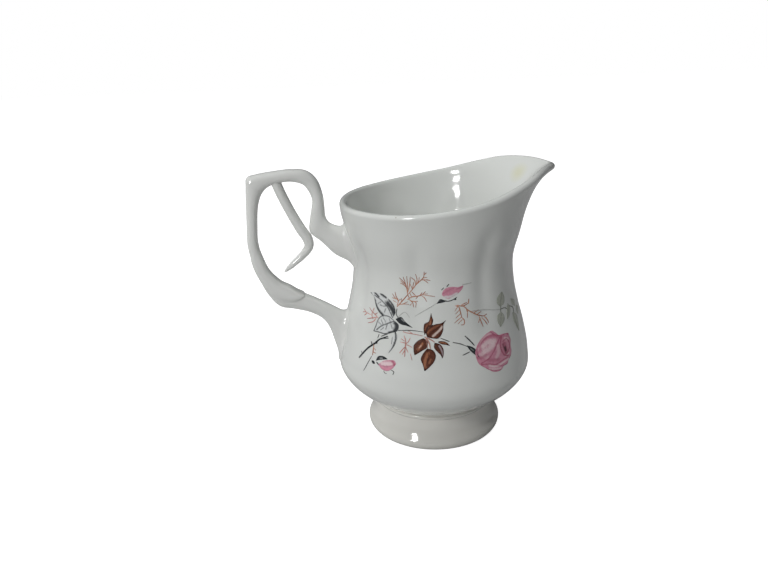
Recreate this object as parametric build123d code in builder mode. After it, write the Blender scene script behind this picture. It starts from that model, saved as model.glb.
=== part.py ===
from build123d import *
from math import cos, exp, hypot, radians, sin
import os

# Porcelain cream jug in millimetres, +Z up. The origin is the centre of the foot's underside,
# the spout points along +X and the handle along -X.

# Body: plain outer wall as (height, radius), before the spout and the flutes are added.
WALL = [
    (16.8, 27.8), (19.5, 31.6), (23.0, 35.5), (29.0, 39.3), (36.0, 39.25), (46.0, 37.4), (56.0, 34.7),
    (66.0, 32.65), (76.0, 32.1), (86.0, 34.4), (96.0, 36.75), (104.0, 39.75), (112.0, 45.0),
]
WALL_THICKNESS = 2.7
FLOOR_HEIGHT = 19.8
FLOOR_RADIUS = 23.0
FLOOR_ROUNDING = 4.0

# Spout: the wall is pulled out at +X, more and more above this height.
SPOUT_START = 88.0
SPOUT_TOP = 110.0
SPOUT_REACH = 11.0
SPOUT_RISE_POWER = 3
SPOUT_HALF_ANGLE = 13.0
SPOUT_SHARPNESS = 1.5

# Handle side: the rim is drawn in a little above the handle.
DRAW_IN = 1.2
DRAW_IN_START = 93.0
DRAW_IN_TOP = 101.0
DRAW_IN_HALF_ANGLE = 30.0

# Flutes: shallow upright grooves on both sides of the spout, as (angle from the spout, top height).
GROOVES = [(67.5, 96.0), (112.5, 92.5), (157.5, 93.5)]
GROOVE_DEPTH = 0.8
GROOVE_HALF_ANGLE = 6.5
GROOVE_BOTTOM = 54.0
GROOVE_FADE = 9.0

# Rim: its height against x, low behind the middle and high at the spout.
RIM = [
    (-60.0, 96.4), (-37.0, 99.1), (-18.0, 99.5), (0.0, 101.2), (16.0, 103.9), (28.0, 107.0), (38.0, 109.4),
    (45.0, 109.4), (54.0, 107.0), (66.0, 103.5),
]
RIM_ROUNDING = 0.4
RIM_LOWEST = 92.0
SHORTEST_RIM_EDGE = 50.0
CUT_TOP = 130.0
CUT_HALF_WIDTH = 70.0
SECTION_POINTS = 64
HALF_OVAL_STEPS = 6
TOLERANCE = 0.1

# Foot: hollow pedestal whose skirt and inside are given as (radius, height), under two stepped rings.
FOOT_TOP = WALL[0][0]
FOOT_SKIRT = [(26.2, 0.0), (27.6, 1.5), (28.1, 3.9), (26.9, 7.4), (24.5, 12.9)]
FOOT_RING_RADII = (25.2, 26.1)
FOOT_RING_LEDGE = 0.5
FOOT_INSIDE = [(19.5, FOOT_TOP), (19.9, 9.0), (22.0, 0.0)]

# Handle: stations along the strap as outer point and inner point, each (x, z), and half width in y.
STRAP = [
    ((-29.0, 86.0), (-29.0, 70.0), 4.8),
    ((-36.4, 88.7), (-33.9, 74.6), 4.2),
    ((-39.8, 90.2), (-39.3, 78.0), 3.6),
    ((-41.3, 91.5), (-44.3, 83.4), 3.3),
    ((-42.2, 93.8), (-48.5, 87.6), 3.2),
    ((-42.3, 97.5), (-48.1, 93.0), 3.1),
    ((-42.7, 102.2), (-46.9, 100.0), 3.1),
    ((-44.5, 107.8), (-49.0, 105.2), 3.1),
    ((-48.4, 111.4), (-51.6, 106.9), 3.1),
    ((-54.3, 112.2), (-55.4, 107.6), 3.1),
    ((-61.6, 111.7), (-59.8, 107.1), 3.1),
    ((-67.5, 110.9), (-63.0, 106.0), 3.2),
    ((-70.7, 109.8), (-65.2, 104.0), 3.2),
    ((-71.4, 106.0), (-66.5, 101.6), 3.2),
    ((-71.9, 99.3), (-67.6, 97.6), 3.1),
    ((-72.4, 91.5), (-68.3, 91.0), 3.1),
    ((-72.8, 84.0), (-68.6, 84.8), 3.1),
    ((-71.7, 76.8), (-67.5, 78.3), 3.1),
    ((-69.7, 70.2), (-65.5, 72.8), 3.1),
    ((-66.8, 63.4), (-61.6, 68.1), 3.1),
    ((-62.6, 58.0), (-57.3, 65.5), 3.1),
    ((-57.0, 56.4), (-53.2, 63.0), 3.0),
    ((-50.8, 54.4), (-48.0, 60.2), 3.0),
    ((-45.8, 51.2), (-43.6, 57.6), 3.2),
    ((-43.0, 46.4), (-39.8, 55.2), 3.6),
    ((-41.2, 40.0), (-36.2, 53.0), 4.3),
    ((-38.6, 33.5), (-31.0, 50.0), 5.0),
]

# Bar end: the upright bar's wide rounded end, laid over both faces of the lower arm.
BAR_END = [
    ((-72.3, 84.0), (-69.1, 84.7), 2.5),
    ((-71.9, 76.6), (-67.3, 78.4), 3.2),
    ((-69.7, 70.0), (-65.2, 73.0), 3.5),
    ((-66.2, 63.6), (-61.3, 68.4), 3.7),
    ((-62.2, 60.5), (-57.8, 66.3), 3.75),
    ((-57.8, 59.7), (-55.2, 64.3), 3.75),
    ((-54.2, 60.9), (-53.0, 63.0), 3.0),
]

# Inner scroll: centre line inside the loop as (x, z) and the scroll's radius there.
SCROLL = [
    ((-60.6, 109.5), 1.9),
    ((-58.4, 103.0), 1.9),
    ((-55.2, 95.5), 1.9),
    ((-52.0, 89.0), 2.0),
    ((-49.7, 85.0), 2.0),
    ((-49.4, 81.6), 1.8),
    ((-52.0, 78.3), 1.5),
    ((-55.9, 75.0), 1.2),
    ((-59.6, 71.9), 0.7),
]

# Fired transfer: enamel patches that lie just clear of the glaze, one spray on each side of the jug.
# A spray is drawn flat, as (across, height), and projected square onto the wall.
SPRAY_AZIMUTHS = (-100.0, 80.0)
ENAMEL_CLEARANCE = 0.02
ENAMEL_THICKNESS = 0.12
SPRAY_DEPTH = 60.0


def smooth_step(value, start, end):
    """0 below start, 1 above end, and a smooth rise between them."""
    t = min(max((value - start) / (end - start), 0.0), 1.0)
    return t * t * (3.0 - 2.0 * t)


def spout(angle, height):
    """How far the spout pushes the wall out, at an angle from +X in degrees."""
    rise = max(height - SPOUT_START, 0.0) / (SPOUT_TOP - SPOUT_START)
    return SPOUT_REACH * rise**SPOUT_RISE_POWER * exp(-((abs(angle) / SPOUT_HALF_ANGLE) ** SPOUT_SHARPNESS))


def draw_in(angle, height):
    """How far the handle side of the rim is drawn in, at an angle from +X in degrees."""
    share = smooth_step(height, DRAW_IN_START, DRAW_IN_TOP)
    return DRAW_IN * share * exp(-(((180.0 - abs(angle)) / DRAW_IN_HALF_ANGLE) ** 2))


def groove(angle, height):
    """Depth of the flute grooves, at an angle from +X in degrees."""
    fade_in = smooth_step(height, GROOVE_BOTTOM - GROOVE_FADE, GROOVE_BOTTOM + GROOVE_FADE)
    offset, top = min((abs(abs(angle) - centre), top) for centre, top in GROOVES)
    fade_out = 1.0 - smooth_step(height, top - GROOVE_FADE, top)
    return GROOVE_DEPTH * fade_in * fade_out * exp(-((offset / GROOVE_HALF_ANGLE) ** 2))


def wall_loop(height, radius):
    """Points of one level section of the wall."""
    points = []
    for step in range(SECTION_POINTS):
        angle = -180.0 + 360.0 * step / SECTION_POINTS
        reach = radius + spout(angle, height) - groove(angle, height) - draw_in(angle, height)
        points.append((reach * cos(radians(angle)), reach * sin(radians(angle))))
    return points


def wall_stack(levels):
    """A closed solid lofted through level sections, all with the same parameters round the wall."""
    even_steps = [step / SECTION_POINTS for step in range(SECTION_POINTS + 1)]
    with BuildPart() as stack:
        for height, radius in levels:
            with BuildSketch(Plane.XY.offset(height)):
                with BuildLine():
                    add(Edge.make_spline(wall_loop(height, radius), periodic=True, parameters=even_steps))
                make_face()
        loft()
    return stack.part


def grown(amount):
    """The wall's levels with every radius grown by an amount."""
    return [(height, radius + amount) for height, radius in WALL]


def cavity_levels():
    """The cavity's levels: the wall moved in by its thickness, square to its slope."""
    levels = [(FLOOR_HEIGHT, FLOOR_RADIUS)]
    for (low, low_radius), (height, radius), (high, high_radius) in zip(WALL, WALL[1:], WALL[2:]):
        slope = (high_radius - low_radius) / (high - low)
        if height > FLOOR_HEIGHT + WALL_THICKNESS:
            levels.append((height, radius - WALL_THICKNESS * hypot(1.0, slope)))
    top_height, top_radius = WALL[-1]
    levels.append((top_height, top_radius - WALL_THICKNESS))
    return levels


def half_oval(half_thickness, half_width, start):
    """Points of half an oval, from a start angle in degrees."""
    turns = [radians(start + 180.0 * step / HALF_OVAL_STEPS) for step in range(HALF_OVAL_STEPS + 1)]
    return [(half_thickness * cos(turn), half_width * sin(turn)) for turn in turns]


def strap_loft(sections):
    """A strap lofted through ovals, given as (centre x, z), (direction x, z), half thickness, half width."""
    with BuildPart() as strap:
        for (x, z), (across_x, across_z), half_thickness, half_width in sections:
            across = Vector(across_x, 0, across_z).normalized()
            with BuildSketch(Plane(origin=(x, 0, z), x_dir=across, z_dir=across.cross(Vector(0, 1, 0)))):
                with BuildLine():
                    Spline(*half_oval(half_thickness, half_width, 0.0), tangents=[(0, 1), (0, -1)])
                    Spline(*half_oval(half_thickness, half_width, 180.0), tangents=[(0, -1), (0, 1)])
                make_face()
        loft()
    return strap.part


def strap_sections(stations):
    """Sections of a strap, each spanning its outer and inner point."""
    sections = []
    for (outer_x, outer_z), (inner_x, inner_z), half_width in stations:
        centre = ((outer_x + inner_x) / 2, (outer_z + inner_z) / 2)
        across = (outer_x - inner_x, outer_z - inner_z)
        sections.append((centre, across, hypot(*across) / 2, half_width))
    return sections


def scroll_sections():
    """The inner scroll's round sections, square to its centre line."""
    sections = []
    for index, (centre, radius) in enumerate(SCROLL):
        before, _ = SCROLL[max(index - 1, 0)]
        after, _ = SCROLL[min(index + 1, len(SCROLL) - 1)]
        across = (before[1] - after[1], after[0] - before[0])
        sections.append((centre, across, radius, radius))
    return sections


def leaf(base, tip, width):
    """A pointed leaf between two points, added to the sketch being drawn."""
    length = hypot(tip[0] - base[0], tip[1] - base[1])
    side = ((base[1] - tip[1]) / length, (tip[0] - base[0]) / length)
    middle = ((base[0] + tip[0]) / 2, (base[1] + tip[1]) / 2)
    left = (middle[0] + side[0] * width / 2, middle[1] + side[1] * width / 2)
    right = (middle[0] - side[0] * width / 2, middle[1] - side[1] * width / 2)
    with BuildLine() as outline:
        ThreePointArc(base, left, tip)
        ThreePointArc(tip, right, base)
    make_face(outline.edges())


def twig(points, width):
    """A thin twig through points, added to the sketch being drawn."""
    for start, end in zip(points, points[1:]):
        leaf(start, end, width)


def draw_pink():
    """The rose and the two buds."""
    with Locations((21.9, 45.5)):
        Ellipse(7.1, 6.8)
    leaf((1.6, 67.6), (10.4, 71.4), 4.4)
    leaf((-21.9, 43.4), (-14.6, 40.8), 4.2)


def draw_brown():
    """The leaf cluster in the middle."""
    heart = (-1.9, 52.2)
    leaf((-2.3, 53.8), (-1.5, 62.3), 2.6)
    leaf(heart, (3.6, 60.3), 4.0)
    leaf(heart, (-9.0, 46.6), 4.6)
    leaf(heart, (-4.4, 41.4), 5.4)
    leaf(heart, (2.4, 46.0), 2.8)
    leaf(heart, (5.0, 51.0), 2.6)


def draw_grey():
    """Leaves, twigs and sepals."""
    leaf((-14.8, 60.6), (-23.6, 67.2), 5.2)
    leaf((-14.0, 60.6), (-23.6, 52.2), 5.6)
    leaf((-14.6, 60.4), (-8.6, 56.7), 1.8)
    leaf((-14.8, 55.6), (-17.2, 46.6), 2.6)
    twig([(-29.2, 41.0), (-24.1, 47.1), (-18.2, 52.3), (-14.2, 55.4), (-9.6, 55.0), (-4.1, 53.8)], 0.7)
    twig([(1.3, 53.6), (6.8, 51.5), (12.4, 48.7), (15.4, 47.0)], 0.7)
    leaf((16.0, 46.2), (10.6, 53.2), 1.3)
    leaf((16.0, 45.6), (11.4, 42.8), 1.3)
    leaf((-24.4, 41.4), (-18.6, 44.8), 1.6)
    leaf((0.0, 65.7), (7.9, 68.2), 1.5)


def draw_coral():
    """Feathery sprigs."""
    twig([(-14.2, 64.6), (-9.3, 69.4), (-7.2, 73.4), (-4.2, 77.3)], 0.7)
    twig([(-9.6, 69.0), (-4.0, 67.6), (1.5, 68.1)], 0.7)
    twig([(-9.0, 69.8), (-11.4, 72.4), (-12.8, 75.0)], 0.7)
    twig([(6.9, 59.7), (9.6, 62.6), (13.0, 62.6), (16.6, 59.6), (19.9, 55.6)], 0.7)
    twig([(12.2, 62.8), (11.8, 65.7)], 0.7)
    twig([(-27.6, 59.3), (-24.6, 58.2), (-21.8, 56.9)], 0.7)
    twig([(-14.2, 47.7), (-11.9, 50.4), (-9.6, 52.5)], 0.7)
    twig([(-13.3, 53.0), (-9.0, 46.2)], 0.7)


def draw_pale():
    """Faded leaves beside the rose, towards the spout."""
    leaf((26.2, 60.4), (24.2, 64.8), 2.4)
    leaf((26.2, 59.8), (24.4, 54.1), 2.6)
    leaf((27.0, 60.0), (30.6, 57.6), 1.8)
    leaf((32.2, 52.8), (31.0, 58.2), 2.2)
    leaf((32.2, 52.2), (33.2, 46.8), 2.2)


def facing(azimuth):
    """The upright plane through the jug's axis that faces an azimuth, in degrees from +X."""
    angle = radians(azimuth)
    return Plane(origin=(0, 0, 0), x_dir=(-sin(angle), cos(angle), 0), z_dir=(cos(angle), sin(angle), 0))


def enamel_layer(draw, printed_over):
    """One colour of the transfer on both sides of the jug, left open where another colour lies over it."""
    with BuildPart() as layer:
        for azimuth in SPRAY_AZIMUTHS:
            with BuildSketch(facing(azimuth)):
                draw()
                for draw_other in printed_over:
                    with BuildSketch(mode=Mode.SUBTRACT):
                        draw_other()
            extrude(amount=SPRAY_DEPTH)
        add(enamel_skin.part, mode=Mode.INTERSECT)
    return layer.part


outer_wall = wall_stack(WALL)
cavity = wall_stack(cavity_levels())

with BuildPart() as above_rim:
    with BuildSketch(Plane.XZ):
        with BuildLine():
            Spline(*RIM)
            Polyline(RIM[-1], (RIM[-1][0], CUT_TOP), (RIM[0][0], CUT_TOP), RIM[0])
        make_face()
    extrude(amount=CUT_HALF_WIDTH, both=True)

with BuildPart() as filled_wall:
    add(outer_wall)
    add(above_rim.part, mode=Mode.SUBTRACT)

with BuildPart() as body:
    add(filled_wall.part)
    add(cavity, mode=Mode.SUBTRACT)
    rim_edges = body.edges().filter_by(lambda edge: edge.center().Z > RIM_LOWEST)
    fillet(rim_edges.filter_by(lambda edge: edge.length > SHORTEST_RIM_EDGE), RIM_ROUNDING)
    floor_edges = body.edges().filter_by(lambda edge: abs(edge.center().Z - FLOOR_HEIGHT) < TOLERANCE)
    fillet(floor_edges, FLOOR_ROUNDING)

with BuildPart() as foot:
    with BuildSketch(Plane.XZ):
        waist_height = FOOT_SKIRT[-1][1]
        ring_height = (FOOT_TOP - waist_height) / len(FOOT_RING_RADII)
        with BuildLine():
            Line(FOOT_INSIDE[-1], FOOT_SKIRT[0])
            skirt = Spline(*FOOT_SKIRT, tangents=[(1, 0.5), (-0.2, 1)])
            level = skirt @ 1
            for index, ring_radius in enumerate(FOOT_RING_RADII):
                top = waist_height + ring_height * (index + 1)
                bulge = (ring_radius, top - ring_height / 2)
                ring = ThreePointArc(level, bulge, (ring_radius - FOOT_RING_LEDGE, top))
                level = ring @ 1
            Line(level, FOOT_INSIDE[0])
            Spline(*FOOT_INSIDE)
        make_face()
    revolve(axis=Axis.Z)

with BuildPart() as handle:
    add(strap_loft(strap_sections(STRAP)))
    add(strap_loft(strap_sections(BAR_END)))
    add(filled_wall.part, mode=Mode.SUBTRACT)

with BuildPart() as handle_scroll:
    add(strap_loft(scroll_sections()))
    add(handle.part, mode=Mode.SUBTRACT)
    add(filled_wall.part, mode=Mode.SUBTRACT)

with BuildPart() as enamel_skin:
    add(wall_stack(grown(ENAMEL_CLEARANCE + ENAMEL_THICKNESS)))
    add(wall_stack(grown(ENAMEL_CLEARANCE)), mode=Mode.SUBTRACT)

with BuildPart() as rose_transfer:
    add(enamel_layer(draw_pink, []))

with BuildPart() as brown_leaf_transfer:
    add(enamel_layer(draw_brown, [draw_pink]))

with BuildPart() as grey_leaf_transfer:
    add(enamel_layer(draw_grey, [draw_pink, draw_brown]))

with BuildPart() as sprig_transfer:
    add(enamel_layer(draw_coral, [draw_pink, draw_brown, draw_grey]))

with BuildPart() as pale_leaf_transfer:
    add(enamel_layer(draw_pale, [draw_pink, draw_coral]))

os.makedirs("parts", exist_ok=True)
pieces = {
    "body": body,
    "foot": foot,
    "handle": handle,
    "handle_scroll": handle_scroll,
    "rose_transfer": rose_transfer,
    "brown_leaf_transfer": brown_leaf_transfer,
    "grey_leaf_transfer": grey_leaf_transfer,
    "sprig_transfer": sprig_transfer,
    "pale_leaf_transfer": pale_leaf_transfer,
}
for name, piece in pieces.items():
    piece.part.label = name
    export_step(piece.part, f"parts/{name}.step")
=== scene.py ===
"""Looks of the porcelain cream jug: glazed pieces, fired transfer, pale floor, studio light and camera."""

import math

import bmesh
import bpy
import numpy as np
from mathutils import Matrix, Vector, noise


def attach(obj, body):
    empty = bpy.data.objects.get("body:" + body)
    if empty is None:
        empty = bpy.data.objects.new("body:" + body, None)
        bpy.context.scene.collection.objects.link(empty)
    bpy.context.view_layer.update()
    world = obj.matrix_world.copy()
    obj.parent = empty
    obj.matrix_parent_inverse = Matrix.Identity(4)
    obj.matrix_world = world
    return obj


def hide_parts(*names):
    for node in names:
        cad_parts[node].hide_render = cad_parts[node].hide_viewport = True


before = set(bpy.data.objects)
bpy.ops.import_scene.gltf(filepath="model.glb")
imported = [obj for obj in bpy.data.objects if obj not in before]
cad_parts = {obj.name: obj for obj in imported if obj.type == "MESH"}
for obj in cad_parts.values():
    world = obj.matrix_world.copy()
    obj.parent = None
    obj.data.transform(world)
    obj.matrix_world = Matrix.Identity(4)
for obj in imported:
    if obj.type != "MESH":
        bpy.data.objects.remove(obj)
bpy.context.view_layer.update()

MM = 0.001
FRONT, BACK = -100.0, 80.0

# Body, in millimetres: plain outer wall as (height, radius).
WALL = [
    (16.8, 27.8), (19.5, 31.6), (23.0, 35.5), (29.0, 39.3), (36.0, 39.25), (46.0, 37.4), (56.0, 34.7),
    (66.0, 32.65), (76.0, 32.1), (86.0, 34.4), (96.0, 36.75), (104.0, 39.75), (112.0, 45.0),
]
RIM = [
    (-60.0, 95.6), (-37.0, 98.5), (-18.0, 99.4), (0.0, 101.2), (16.0, 103.9), (28.0, 107.0), (38.0, 109.4),
    (45.0, 109.4), (54.0, 107.0), (66.0, 103.5),
]
WALL_THICKNESS = 2.7
LIP_RADIUS = 1.4
SPOUT_LIP_LIFT = 1.5
FLOOR_HEIGHT = 19.8
FLOOR_ROUNDING = 9.0
FLOOR_EDGE_HEIGHT = 24.5
UNDERSIDE = [(6.0, 17.2), (14.0, 17.1), (20.0, 16.9), (24.0, 16.8), (27.0, 16.8)]
UNDERSIDE_CENTRE = 17.3
SPOUT_START, SPOUT_TOP, SPOUT_REACH, SPOUT_HALF_ANGLE = 88.0, 110.0, 11.0, 13.0
SPOUT_RISE_POWER, SPOUT_SHARPNESS = 3, 1.5
DRAW_IN, DRAW_IN_START, DRAW_IN_TOP, DRAW_IN_HALF_ANGLE = 1.2, 93.0, 101.0, 30.0
GROOVE_ANGLES = (67.5, 112.5, 157.5)
GROOVE_DEPTH, GROOVE_HALF_ANGLE = 0.85, 7.0
GROOVE_BOTTOM, GROOVE_FADE = 54.0, 10.0
GROOVE_BELOW_RIM = 7.5

# Handle: stations as outer point, inner point (x, z) and half width in y.
STRAP = [
    ((-29.0, 86.0), (-29.0, 70.0), 4.8),
    ((-36.4, 88.7), (-33.9, 74.6), 4.2),
    ((-39.8, 90.2), (-39.3, 78.0), 3.6),
    ((-41.3, 91.5), (-44.3, 83.4), 3.3),
    ((-42.2, 93.8), (-48.5, 87.6), 3.2),
    ((-42.3, 97.5), (-48.1, 93.0), 3.1),
    ((-42.7, 102.2), (-46.9, 100.0), 3.1),
    ((-44.5, 107.8), (-49.0, 105.2), 3.1),
    ((-48.4, 111.4), (-51.6, 106.9), 3.1),
    ((-54.3, 112.2), (-55.4, 107.6), 3.1),
    ((-61.6, 111.7), (-59.8, 107.1), 3.1),
    ((-67.5, 110.9), (-63.0, 106.0), 3.2),
    ((-70.7, 109.8), (-65.2, 104.0), 3.2),
    ((-71.4, 106.0), (-66.5, 101.6), 3.2),
    ((-71.9, 99.3), (-67.6, 97.6), 3.1),
    ((-72.4, 91.5), (-68.3, 91.0), 3.1),
    ((-72.8, 84.0), (-68.6, 84.8), 3.1),
    ((-71.7, 76.8), (-67.5, 78.3), 3.1),
    ((-69.7, 70.2), (-65.5, 72.8), 3.1),
    ((-66.8, 63.4), (-61.6, 68.1), 3.1),
    ((-62.6, 58.0), (-57.3, 65.5), 3.1),
    ((-57.0, 56.4), (-53.2, 63.0), 3.0),
    ((-50.8, 54.4), (-48.0, 60.2), 3.0),
    ((-45.8, 51.2), (-43.6, 57.6), 3.2),
    ((-43.0, 46.4), (-39.8, 55.2), 3.6),
    ((-41.2, 40.0), (-36.2, 53.0), 4.3),
    ((-38.6, 33.5), (-31.0, 50.0), 5.0),
]
# Scroll inside the loop: stations as centre (x, z) and radius.
SCROLL = [
    ((-60.6, 109.5), 1.9), ((-58.4, 103.0), 1.9), ((-55.2, 95.5), 1.9), ((-52.0, 89.0), 2.0),
    ((-49.7, 85.0), 2.0), ((-49.4, 81.6), 1.8), ((-52.0, 78.3), 1.5), ((-55.9, 75.0), 1.2),
    ((-59.6, 71.9), 0.7),
]
# End of the bar over the lower arm: stations as the handle's.
BAR_END = [
    ((-72.3, 84.0), (-69.1, 84.7), 2.5),
    ((-71.9, 76.6), (-67.3, 78.4), 3.2),
    ((-69.7, 70.0), (-65.2, 73.0), 3.5),
    ((-66.2, 63.6), (-61.3, 68.4), 3.75),
    ((-62.2, 60.5), (-57.8, 66.3), 3.85),
    ((-57.8, 59.7), (-55.2, 64.3), 3.85),
    ((-54.6, 60.6), (-53.4, 63.2), 3.6),
    ((-52.8, 61.8), (-52.4, 62.6), 2.8),
]


# ---------------------------------------------------------------- shape of the jug

def smooth_step(value, start, end):
    t = np.clip((value - start) / (end - start), 0.0, 1.0)
    return t * t * (3.0 - 2.0 * t)


def smooth_curve(knots, values, at):
    """Points of a smooth curve through values at knots, one row for each entry of at."""
    knots = np.asarray(knots, float)
    values = np.asarray(values, float).reshape(len(knots), -1)
    at = np.atleast_1d(np.asarray(at, float))
    slopes = np.gradient(values, knots, axis=0)
    left = np.clip(np.searchsorted(knots, at.ravel(), side="right") - 1, 0, len(knots) - 2)
    width = (knots[left + 1] - knots[left])[:, None]
    t = (at.ravel()[:, None] - knots[left][:, None]) / width
    start = values[left] * (1 + 2 * t) * (1 - t) ** 2 + slopes[left] * width * t * (1 - t) ** 2
    end = values[left + 1] * t**2 * (3 - 2 * t) - slopes[left + 1] * width * t**2 * (1 - t)
    return start + end


def evenly(stations, rows):
    """A smooth curve through stations, as many rows between each two."""
    return smooth_curve(range(len(stations)), stations, np.linspace(0, len(stations) - 1, rows))


WALL_HEIGHTS, WALL_RADII = zip(*WALL)
RIM_X, RIM_Z = zip(*RIM)
RIM_FIRST_GUESS = 101.0
RIM_PASSES = 30


def plain_radius(height):
    height = np.asarray(height, float)
    return smooth_curve(WALL_HEIGHTS, WALL_RADII, height)[:, 0].reshape(height.shape)


def spout(angle, height):
    rise = np.maximum(height - SPOUT_START, 0.0) / (SPOUT_TOP - SPOUT_START)
    fall = (np.abs(angle) / SPOUT_HALF_ANGLE) ** SPOUT_SHARPNESS
    return SPOUT_REACH * rise**SPOUT_RISE_POWER * np.exp(-fall)


def draw_in(angle, height):
    share = smooth_step(height, DRAW_IN_START, DRAW_IN_TOP)
    return DRAW_IN * share * np.exp(-(((180.0 - np.abs(angle)) / DRAW_IN_HALF_ANGLE) ** 2))


def rim_height(angle):
    """Height of the rim at an angle from the spout, found by walking out to the wall."""
    height = np.full(np.shape(angle), RIM_FIRST_GUESS)
    for _ in range(RIM_PASSES):
        x = (plain_radius(height) + spout(angle, height)) * np.cos(np.radians(angle))
        height = smooth_curve(RIM_X, RIM_Z, x)[:, 0].reshape(height.shape)
    return height


def wrapped(angle):
    """An angle in degrees brought into -180 to 180."""
    return (np.asarray(angle, float) + 180.0) % 360.0 - 180.0


def groove(angle, height, rim):
    fade_in = smooth_step(height, GROOVE_BOTTOM - GROOVE_FADE, GROOVE_BOTTOM + GROOVE_FADE)
    top = rim - GROOVE_BELOW_RIM
    fade_out = 1.0 - smooth_step(height, top - GROOVE_FADE, top)
    nearest = np.min([np.abs(np.abs(angle) - centre) for centre in GROOVE_ANGLES], axis=0)
    return GROOVE_DEPTH * fade_in * fade_out * np.exp(-((nearest / GROOVE_HALF_ANGLE) ** 2))


def wall_radius(angle, height, rim=None):
    """Outer radius of the body in millimetres, at an angle in degrees from the spout."""
    angle = wrapped(angle)
    rim = rim_height(angle) if rim is None else rim
    return plain_radius(height) + spout(angle, height) - groove(angle, height, rim) - draw_in(angle, height)


def wall_slope(angle, height, rim):
    step = 0.5
    return (wall_radius(angle, height + step, rim) - wall_radius(angle, height - step, rim)) / (2 * step)


# ---------------------------------------------------------------- mesh making

def new_object(name, points, faces, smooth=True):
    """A mesh object from millimetre points."""
    mesh = bpy.data.meshes.new(name)
    mesh.from_pydata((np.asarray(points, float) * MM).tolist(), [], faces)
    mesh.validate()
    if smooth:
        mesh.polygons.foreach_set("use_smooth", [True] * len(mesh.polygons))
    piece = bpy.data.objects.new(name, mesh)
    bpy.context.collection.objects.link(piece)
    return piece


def ring_stack(name, rings, start_point=None, end_point=None):
    """A tube through closed rings of equally many points, closed by a fan at each given end point."""
    rings = np.asarray(rings, float)
    rows, count = rings.shape[:2]
    points = rings.reshape(-1, 3).tolist()
    faces = []
    for row in range(rows - 1):
        for step in range(count):
            following = (step + 1) % count
            faces.append((row * count + step, row * count + following,
                          (row + 1) * count + following, (row + 1) * count + step))
    for end, row in ((start_point, 0), (end_point, rows - 1)):
        if end is None:
            continue
        points.append(list(end))
        centre = len(points) - 1
        for step in range(count):
            corner = row * count + step
            following = row * count + (step + 1) % count
            faces.append((centre, following, corner) if row == 0 else (centre, corner, following))
    return new_object(name, points, faces)


BODY_STEPS = 480
OUTER_ROWS = 110
INNER_ROWS = 64
LIP_ROWS = 12
LIP_FADE = 6.0
INNER_GROOVE_SHARE = 0.5


def body_piece():
    """The cast body: underside, fluted outer wall, rolled lip, inner wall and floor."""
    angle = wrapped(np.arange(BODY_STEPS) * 360.0 / BODY_STEPS)
    rim = rim_height(angle)
    slope = wall_slope(angle, rim - LIP_RADIUS, rim)
    length = np.hypot(slope, 1.0)
    out_r, out_z = 1.0 / length, -slope / length
    up_r, up_z = slope / length, 1.0 / length
    reach_out = SPOUT_LIP_LIFT * np.exp(-((np.abs(angle) / (2 * SPOUT_HALF_ANGLE)) ** 2))
    outer_end = rim - LIP_RADIUS * (1.0 + up_r) + reach_out
    profile = []
    for radius, height in UNDERSIDE:
        profile.append((np.full_like(angle, radius), np.full_like(angle, height)))
    for share in np.linspace(0.0, 1.0, OUTER_ROWS):
        height = WALL_HEIGHTS[0] + (outer_end - WALL_HEIGHTS[0]) * share
        profile.append((wall_radius(angle, height, rim), height))
    edge_r, edge_z = profile[-1]
    centre_r, centre_z = edge_r - LIP_RADIUS * out_r, edge_z - LIP_RADIUS * out_z
    for turn in np.linspace(0.0, math.pi, LIP_ROWS + 1)[1:]:
        reach_r = math.cos(turn) * out_r + math.sin(turn) * up_r
        reach_z = math.cos(turn) * out_z + math.sin(turn) * up_z
        profile.append((centre_r + LIP_RADIUS * reach_r, centre_z + LIP_RADIUS * reach_z))
    inner_start = profile[-1][1]
    lip_inset = profile[-1][0] - wall_radius(angle, inner_start, rim)
    for share in np.linspace(0.0, 1.0, INNER_ROWS)[1:]:
        height = inner_start + (FLOOR_EDGE_HEIGHT - inner_start) * share
        inset = groove(angle, height, rim) * INNER_GROOVE_SHARE
        inset -= WALL_THICKNESS * np.hypot(1.0, wall_slope(angle, height, rim))
        blend = smooth_step(inner_start - height, 0.0, LIP_FADE)
        profile.append((wall_radius(angle, height, rim) + lip_inset * (1 - blend) + inset * blend, height))
    corner_r, corner_z = profile[-1]
    for turn in np.radians((15, 30, 45, 60, 75, 90)):
        radius = corner_r - FLOOR_ROUNDING * (1 - math.cos(turn))
        height = corner_z - (corner_z - FLOOR_HEIGHT) * math.sin(turn)
        profile.append((radius, height))
    for share in (0.8, 0.55, 0.3, 0.12):
        profile.append((share * (corner_r - FLOOR_ROUNDING), np.full_like(angle, FLOOR_HEIGHT)))
    turn = np.radians(angle)
    rings = [np.stack([r * np.cos(turn), r * np.sin(turn), z], axis=1) for r, z in profile]
    return ring_stack("jug_body", rings, (0, 0, UNDERSIDE_CENTRE), (0, 0, FLOOR_HEIGHT))


# Foot, in millimetres: outside and inside as (radius, height).
FOOT_OUTSIDE = [
    (22.6, 0.35), (23.2, 0.0), (25.4, 0.0), (26.3, 0.2), (27.3, 0.9), (27.95, 1.9), (28.15, 3.0),
    (28.05, 3.9), (27.7, 4.6), (27.1, 5.4), (26.5, 6.3), (26.0, 7.3), (25.55, 8.5), (25.2, 9.9),
    (24.95, 11.2), (24.7, 12.5), (24.8, 12.95), (25.2, 13.4), (25.35, 13.9), (25.2, 14.4), (24.8, 14.75),
    (25.1, 14.95), (25.7, 15.3), (26.0, 15.8), (26.1, 16.3), (26.0, 16.8),
]
FOOT_INSIDE = [(19.5, 16.8), (19.6, 14.0), (19.9, 9.0), (20.8, 4.0), (21.8, 1.2)]
FOOT_OUTSIDE_ROWS, FOOT_INSIDE_ROWS = 260, 40
FOOT_STEPS = 320


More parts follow.
